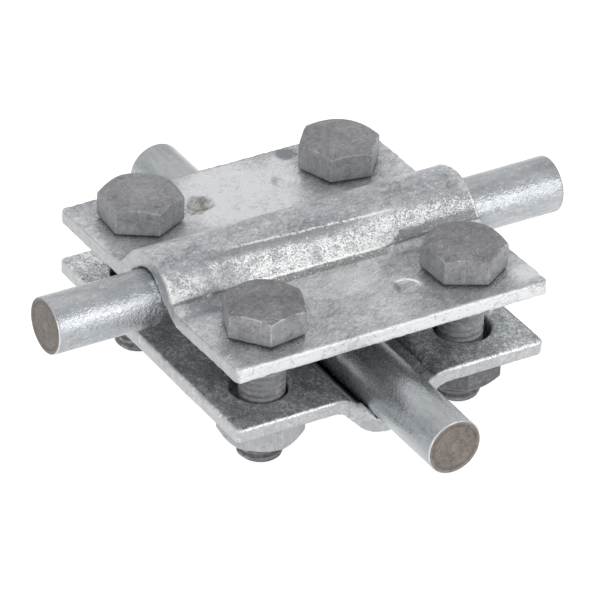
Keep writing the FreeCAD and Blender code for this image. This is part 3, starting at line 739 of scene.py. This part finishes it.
# The stain at along -20, across -25.5 is painted shadow next to the front-left head, on its front side
upper_zinc = galvanised_plate(
    "upper plate zinc", (0, 0, UPPER_AXIS), (0, 0, 0), dark=(0.25, 0.270, 0.290),
    stains=[(21, -13, 8, 0.35), (13.2, 27.6, 2.6, 0.7), (-22, -11.0, 3, 0.2), (-25, -8.4, 5, 0.3),
            (-20, -6.5, 4, 0.25), (2, -6.5, 6, 0.2), (-20, -25.5, 4, 0.15), (-1, 19, 16, -0.6),
            (12, 25, 5, -0.25), (14, 10.5, 5, -0.3), (21, 10.5, 5, -0.3), (-26, 17, 7, -0.3),
            (28, 16, 4, -0.2), (-27, -17, 6, -0.2), (-25, -25, 4, -0.25), (28.5, -26, 4, -0.4),
            (-8.5, 20, 3.0, 0.4)],
    soiled=[(x, y, 9.2, 0.75, HEAD_DIRT) for _, x, y, *_ in CORNERS],
    pale_towards="mouths", pips=[(8.5, -20)],
    puddles=[(-1.0, -8.5, 9.6, -0.27), (13.5, -15.5, 6.5, 0.12)],
    tarnished=[(-8.3, 20.2, 2.9), (-10.2, 18.4, 2.0)])
# The lower plate's dark tone carries a painted greenish tint of shade
lower_zinc = galvanised_plate(
    "lower plate zinc", (0, 0, LOWER_AXIS), (math.pi, 0, math.pi / 2), dark=(0.235, 0.268, 0.282),
    stains=[(-22, 0, 9, 0.2), (20, 18, 8, 0.2)],
    soiled=[(25.0, -24.0, 8.0, 0.85, (0.07, 0.07, 0.07)), (26.5, -27.4, 1.9, 1.0, (0.03, 0.03, 0.03)),
            (22.7, -26.3, 2.2, 1.0, (0.05, 0.05, 0.05)), (29.2, -23.8, 1.7, 1.0, (0.05, 0.05, 0.05))],
    pale_towards="edge", shearing=0.25, flecks=0.9, calm_tones=(0.34, 0.62))
for plate, node, finish in (
    (upper_plate, "upper_clamp_plate", upper_zinc),
    (lower_plate, "lower_clamp_plate", lower_zinc),
):
    plate.data.materials.append(finish)
    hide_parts(node)
    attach(plate, "root")


# Conductors

RIM, BAR_STEP, END_MARGIN = 0.15, 0.6, 0.5


def round_conductor(name, matrix):
    """Galvanised bar drawn up in short steps, with a zinc rim about each bare turned end."""
    face = ROD_RADIUS - RIM
    end = [(0.25, 0.0), (1.0, 0.012), (1.8, -0.004), (2.6, 0.012), (3.4, 0.0), (4.1, 0.012),
           (face - 0.10, 0.03), (face - 0.05, 0.07), (face, 0.08), (ROD_RADIUS - 0.05, 0.01),
           (ROD_RADIUS, -0.08)]
    low = [(radius, -ROD_HALF + 0.1 - height) for radius, height in end]
    high = [(radius, ROD_HALF - 0.1 + height) for radius, height in reversed(end)]
    straight = ROD_HALF - END_MARGIN
    count = round(2 * straight / BAR_STEP)
    middle = [(ROD_RADIUS, -straight + 2 * straight * k / count) for k in range(count + 1)]
    bar = turned_solid(name, low + middle + high)
    bar.matrix_world = matrix
    settle(bar)
    uneven(bar, SLOW_WAVES, 0.07)
    uneven(bar, ZINC_LUMPS, 0.05)
    return bar


def dress_conductor(bar, axis, zinc, steel):
    """Zinc along the bar, which lies on axis 0 or 1, and bare steel on its two cut faces."""
    bar.data.materials.append(zinc)
    bar.data.materials.append(steel)
    edit(bar)
    centre = UPPER_AXIS if axis == 0 else LOWER_AXIS

    def on_cut_face(place):
        reach = math.hypot(place[1 - axis], place.z - centre)
        return abs(place[axis]) > ROD_HALF - 0.3 and reach < ROD_RADIUS - RIM - 0.06

    pick_faces(bar, on_cut_face)
    bar.active_material_index = 1
    bpy.ops.object.material_slot_assign()
    leave_edit()
    only(bar)
    bpy.ops.object.shade_smooth_by_angle(angle=math.radians(38))


upper_rod = round_conductor("upper_conductor_zinc_coated", (
    Matrix.Translation((0, 0, UPPER_AXIS * MM)) @ Matrix.Rotation(math.pi / 2, 4, "Y")))
lower_rod = round_conductor("lower_conductor_zinc_coated", (
    Matrix.Translation((0, 0, LOWER_AXIS * MM)) @ Matrix.Rotation(math.pi / 2, 4, "X")))
ALONG_X, ALONG_Y = (0, 0, 0), (0, 0, math.pi / 2)
dress_conductor(
    upper_rod, 0,
    galvanised_rod("upper conductor zinc", UPPER_AXIS, ALONG_X, dark=(0.26, 0.283, 0.300),
                   lit_side=(-0.95, -0.1), coarse=0.85),
    bare_cut_steel("upper conductor cut steel", UPPER_AXIS, ALONG_X, light=(0.29, 0.260, 0.234)))
# The lower conductor's dark tone carries a painted greenish tint of shade
dress_conductor(
    lower_rod, 1,
    galvanised_rod("lower conductor zinc", LOWER_AXIS, ALONG_Y, dark=(0.285, 0.318, 0.328),
                   lit_side=(0.8, 0.6), coarse=0.5),
    bare_cut_steel("lower conductor cut steel", LOWER_AXIS, ALONG_Y, light=(0.33, 0.295, 0.268)))
for bar, node in ((upper_rod, "upper_round_conductor"), (lower_rod, "lower_round_conductor")):
    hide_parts(node)
    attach(bar, "root")


# Fasteners

SPARE = 0.5
BORE_RADIUS, BORE_MOUTH = 4.12, 5.3
FLATS_PAINTED_LIGHT = 0.20
THREAD_PAINTED_LIGHT, THREAD_END_PAINTED_SHADE, THREAD_END = 0.18, -0.35, -17.0
FOOT_SHADE_DEPTH, FOOT_HEIGHT, FOOT_FADE = 0.34, 1.5, 1.1
WIDE = HEX_CORNER + 0.3

# Each corner's fasteners take the zinc pattern from a place of its own, so no two look alike
OWN_PATTERN = Vector((31.0, 17.0, 7.0))


def chamfer_cone(circle):
    """How far a 30 degree chamfer has fallen when it reaches a wider circle than the hexagon."""
    return (WIDE - circle) * CHAMFER_SLOPE


def soften(piece, voxel):
    """Zinc takes the sharpness off: the shape is rebuilt finely and eased."""
    finish_with(piece, "REMESH", mode="VOXEL", voxel_size=voxel * MM)
    finish_with(piece, "SMOOTH", factor=0.5, iterations=3)
    uneven(piece, ZINC_LUMPS, 0.07)
    only(piece)
    bpy.ops.object.shade_smooth()


def from_0_to_1(number):
    """The number, kept from 0 to 1."""
    return min(max(number, 0.0), 1.0)


def hexagon_gaps(spot):
    """Distances from a point to the six flats, smallest first."""
    flats = [math.radians(30 + 60 * k) for k in range(6)]
    return sorted(HEX_APOTHEM - spot.x * math.cos(t) - spot.y * math.sin(t) for t in flats)


def not_at_all(spot):
    """A mark that a piece does not have."""
    return 0.0


def remember(piece, rubbed, side=not_at_all, foot=not_at_all):
    """Keep each point's own place as an attribute, how rubbed it is, its painted light or shade, and
    its painted shade at the foot.
    """
    marks = {"rubbed": rubbed, "side": side, "foot": foot}
    layers = piece.data.attributes
    layers.new("own_place", "FLOAT_VECTOR", "POINT")
    for name in marks:
        layers.new(name, "FLOAT", "POINT")
    for name, mark in marks.items():
        for vertex, point in zip(piece.data.vertices, layers[name].data):
            point.value = mark(vertex.co / MM)
    for vertex, point in zip(piece.data.vertices, layers["own_place"].data):
        point.vector = vertex.co / MM


def flats_painted_light(spot):
    """How much painted light the flats of a head get over its chamfer and its top."""
    fall = max(math.hypot(spot.x, spot.y) - HEX_CIRCLE, 0.0) * CHAMFER_SLOPE
    return FLATS_PAINTED_LIGHT * from_0_to_1((HEAD_HEIGHT - 0.15 - fall - spot.z) / 0.2)


def foot_shade(spot):
    """Painted shade low on a head, where it meets the plate."""
    return FOOT_SHADE_DEPTH * from_0_to_1((FOOT_HEIGHT - spot.z) / FOOT_FADE)


def thread_painted_light(spot):
    """Painted light on the thread between the plates, and painted shade at its free end."""
    return THREAD_PAINTED_LIGHT if spot.z > THREAD_END else THREAD_END_PAINTED_SHADE


def rubbed_corners(chamfered):
    """Rubbing on a hexagonal piece: strong where two of its faces meet, none in its bore."""
    def rubbed_at(spot):
        reach = math.hypot(spot.x, spot.y)
        gaps = hexagon_gaps(spot)[:2]
        for end in chamfered:
            fall = abs(end - spot.z) - (reach - HEX_CIRCLE) * CHAMFER_SLOPE
            gaps.append(abs(fall) * math.cos(math.radians(30)))
        return math.exp(-(sorted(gaps)[1] / 0.10) ** 2)
    return rubbed_at


def rubbed_crests(spot):
    """Rubbing on a thread: none at its root, some on its crests."""
    crest = (math.hypot(spot.x, spot.y) - THREAD_ROOT) / (THREAD_CREST - THREAD_ROOT)
    return max(0.0, crest) ** 2 * 0.35


def thread_shell():
    """Helical thread from under the head to the bolt's end, closed and chamfered there."""
    depth, lead, rise, crest = THREAD_CREST - THREAD_ROOT, 0.14, 0.33, 0.38
    rest_of_root = THREAD_PITCH - lead - 2 * rise - crest
    tooth = [(0, lead), (depth, rise), (0, crest), (-depth, rise), (0, rest_of_root)]
    turns = round(BOLT_LENGTH / THREAD_PITCH) + 2
    bpy.ops.mesh.primitive_plane_add(
        size=MM, location=(THREAD_ROOT * MM, 0, (-BOLT_LENGTH - 1.5) * MM))
    shell = bpy.context.object
    settle(shell)
    edit(shell, "VERT")
    bpy.ops.mesh.merge(type="CENTER")
    for out, up in tooth:
        bpy.ops.mesh.extrude_vertices_move(
            TRANSFORM_OT_translate={"value": (out * MM, 0, up * MM)})
    leave_edit()
    finish_with(shell, "SCREW", axis="Z", angle=math.tau, screw_offset=THREAD_PITCH * MM,
                iterations=turns, steps=48, render_steps=48)
    edit(shell, "VERT")
    bpy.ops.mesh.remove_doubles(threshold=0.002 * MM)
    for height, up in ((-BOLT_LENGTH, -1), (0.6, 1)):
        bpy.ops.mesh.select_all(action="SELECT")
        bpy.ops.mesh.bisect(plane_co=(0, 0, height * MM), plane_no=(0, 0, up), use_fill=True,
                            clear_outer=True)
    leave_closed()
    end = turned_solid("end chamfer", [
        (2.0, -BOLT_LENGTH), (3.0, -BOLT_LENGTH + 0.05), (3.35, -BOLT_LENGTH + 0.25),
        (4.3, -BOLT_LENGTH + 1.15), (4.3, 0.55)], around=64)
    cut_with(shell, end, "INTERSECT")
    return shell


def bolt_template():
    """Hex head with washer face and chamfered top, over a fully threaded shank."""
    head = hex_prism("bolt template", -SPARE, HEAD_HEIGHT + SPARE)
    cone = turned_solid("head chamfer", [
        (WASHER_RADIUS, 0.0), (WASHER_RADIUS, FACE_HEIGHT), (WIDE, FACE_HEIGHT),
        (WIDE, HEAD_HEIGHT - chamfer_cone(HEX_CIRCLE)), (6.35, HEAD_HEIGHT - 0.16),
        (5.9, HEAD_HEIGHT - 0.05), (5.2, HEAD_HEIGHT)])
    cut_with(head, cone, "INTERSECT")
    soften(head, 0.19)
    remember(head, rubbed_corners([HEAD_HEIGHT]), flats_painted_light, foot_shade)
    shell = thread_shell()
    only(shell)
    bpy.ops.object.shade_smooth_by_angle(angle=math.radians(40))
    remember(shell, rubbed_crests, thread_painted_light)
    only(shell, head)
    bpy.ops.object.join()
    return head


def nut_template():
    """Hex nut, chamfered on both faces, its bore opened at both ends."""
    nut = hex_prism("nut template", -NUT_HEIGHT - SPARE, SPARE)
    fall = chamfer_cone(HEX_CIRCLE)
    cone = turned_solid("nut chamfers", [
        (HEX_CIRCLE, -NUT_HEIGHT), (WIDE, -NUT_HEIGHT + fall), (WIDE, -fall), (HEX_CIRCLE, 0.0)])
    cut_with(nut, cone, "INTERSECT")
    bore = turned_solid("nut bore", [
        (BORE_MOUTH, -NUT_HEIGHT - 0.7), (BORE_RADIUS, -NUT_HEIGHT + 0.48), (BORE_RADIUS, -0.48),
        (BORE_MOUTH, 0.7)])
    cut_with(nut, bore, "DIFFERENCE")
    soften(nut, 0.2)
    remember(nut, rubbed_corners([0.0, -NUT_HEIGHT]))
    return nut


bolt_model, nut_model = bolt_template(), nut_template()
fastener_zinc = dull_zinc("dull fastener zinc")
for number, (corner, x, y, head_turn, nut_turn, top_painted_light, nut_painted_light) in enumerate(CORNERS, 1):
    rise = (FACE_OVER_AXIS - y * math.sin(PLATE_ROCK)) / math.cos(PLATE_ROCK)
    seat = UPPER_AXIS + rise + HEAD_LIFT
    where = Matrix.Translation((x * MM, y * MM, seat * MM)) @ Matrix.Rotation(-BOLT_LEAN, 4, "X")
    drop = Matrix.Translation((0, 0, -(seat - NUT_SEAT) / math.cos(BOLT_LEAN) * MM))
    bolt = placed_copy(bolt_model, "bolt_dull_zinc_" + corner,
                       where @ Matrix.Rotation(math.radians(head_turn), 4, "Z"))
    nut = placed_copy(nut_model, "nut_dull_zinc_" + corner,
                      where @ drop @ Matrix.Rotation(math.radians(nut_turn), 4, "Z"))

    # The nut's painted light or shade is even; on the bolt only the head's top changes, not its flats
    # or the thread
    for point in nut.data.attributes["side"].data:
        point.value = nut_painted_light
    for point in bolt.data.attributes["side"].data:
        point.value += top_painted_light * max(0.0, 1.0 - abs(point.value) / FLATS_PAINTED_LIGHT)
    for piece, node in ((bolt, "bolt_" + corner), (nut, "nut_" + corner)):
        for point in piece.data.attributes["own_place"].data:
            point.vector = Vector(point.vector) + OWN_PATTERN * number
        piece.data.materials.clear()
        piece.data.materials.append(fastener_zinc)
        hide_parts(node)
        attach(piece, "root")
bpy.data.objects.remove(bolt_model)
bpy.data.objects.remove(nut_model)


# Floor, light and camera

def seen_directly(finish):
    """1 for the rays that show the background: camera, mirror and clear ones."""
    rays = finish.node("ShaderNodeLightPath").socket.node.outputs
    direct, mirrored, clear = (
        Value(finish, rays[name]) for name in ("Is Camera Ray", "Is Glossy Ray", "Is Transmission Ray"))
    return (direct + mirrored + clear).held()


def pale_floor():
    """A matt floor that keeps the shadow and glows white where it is seen."""
    floor_finish = Finish(bpy.data.materials.new("pale floor"))
    seen = seen_directly(floor_finish)
    matt = floor_finish.node("ShaderNodeBsdfDiffuse", None, {"Color": (0.9, 0.9, 0.9, 1.0)})
    glow = floor_finish.node("ShaderNodeEmission", None, {"Color": (1, 1, 1, 1), "Strength": 1.4})
    mixed = floor_finish.node("ShaderNodeMixShader", None, {0: seen * 0.65, 1: matt, 2: glow})
    floor_finish.node("ShaderNodeOutputMaterial", None, {"Surface": mixed})
    bpy.ops.mesh.primitive_plane_add(size=3.0, location=(0, 0, 0))
    floor = bpy.context.object
    floor.name = "floor"
    floor.data.materials.append(floor_finish.owner)


def pale_world():
    """Even light from all round, white where the camera looks past the floor."""
    world = bpy.data.worlds.new("white room")
    bpy.context.scene.world = world
    room = Finish(world)
    rays = room.node("ShaderNodeLightPath").socket.node.outputs
    strength = 0.84 + 0.16 * Value(room, rays["Is Camera Ray"])
    light = room.node("ShaderNodeBackground", None, {"Color": (1, 1, 1, 1), "Strength": strength})
    room.node("ShaderNodeOutputWorld", None, {"Surface": light})


def soft_box(name, direction, distance, width, height, radiance):
    """A rectangular lamp of even brightness that faces the crossing; its sizes are in metres."""
    lamp = bpy.data.lights.new(name, "AREA")
    lamp.shape = "RECTANGLE"
    lamp.size, lamp.size_y = width, height
    lamp.energy = radiance * math.pi * width * height
    holder = bpy.data.objects.new(name, lamp)
    bpy.context.scene.collection.objects.link(holder)
    towards = Vector(direction).normalized()
    holder.location = Vector((0, 0, CROSSING * MM)) + towards * distance
    holder.rotation_euler = towards.to_track_quat("Z", "Y").to_euler()


def photo_camera():
    """The photograph's viewpoint: turned 32 degrees to the left, 32 above, rolled by 2.7."""
    turn, rise, roll = math.radians(-32.3229), math.radians(32.3934), math.radians(2.6667)
    distance, right_shift, up_shift = 1034.151, 0.1489, 3.6706
    focal_pixels, frame_pixels = 6100.7, 600
    right = Vector((math.cos(turn), math.sin(turn), 0))
    up = Vector((-math.sin(rise) * math.sin(turn), math.sin(rise) * math.cos(turn), math.cos(rise)))
    back = right.cross(up)
    right, up = (math.cos(roll) * right + math.sin(roll) * up,
                 math.cos(roll) * up - math.sin(roll) * right)
    lens = bpy.data.cameras.new("photograph view")
    lens.sensor_width = 36.0
    lens.lens = focal_pixels / frame_pixels * lens.sensor_width
    lens.clip_start, lens.clip_end = 0.05, 10.0
    camera = bpy.data.objects.new("photograph view", lens)
    bpy.context.scene.collection.objects.link(camera)
    spot = (Vector((0, 0, CROSSING)) + back * distance - right * right_shift - up * up_shift) * MM
    axes = Matrix((right, up, back)).transposed().to_4x4()
    camera.matrix_world = Matrix.Translation(spot) @ axes
    bpy.context.scene.camera = camera


pale_floor()
pale_world()
soft_box("key soft box", direction=(0.45, -0.83, 0.34), distance=1.3, width=0.9, height=0.75,
         radiance=2.05)
soft_box("left soft box", direction=(-0.82, -0.45, 0.30), distance=1.2, width=0.7, height=0.6,
         radiance=1.6)
photo_camera()
bpy.context.scene.view_settings.view_transform = "Standard"
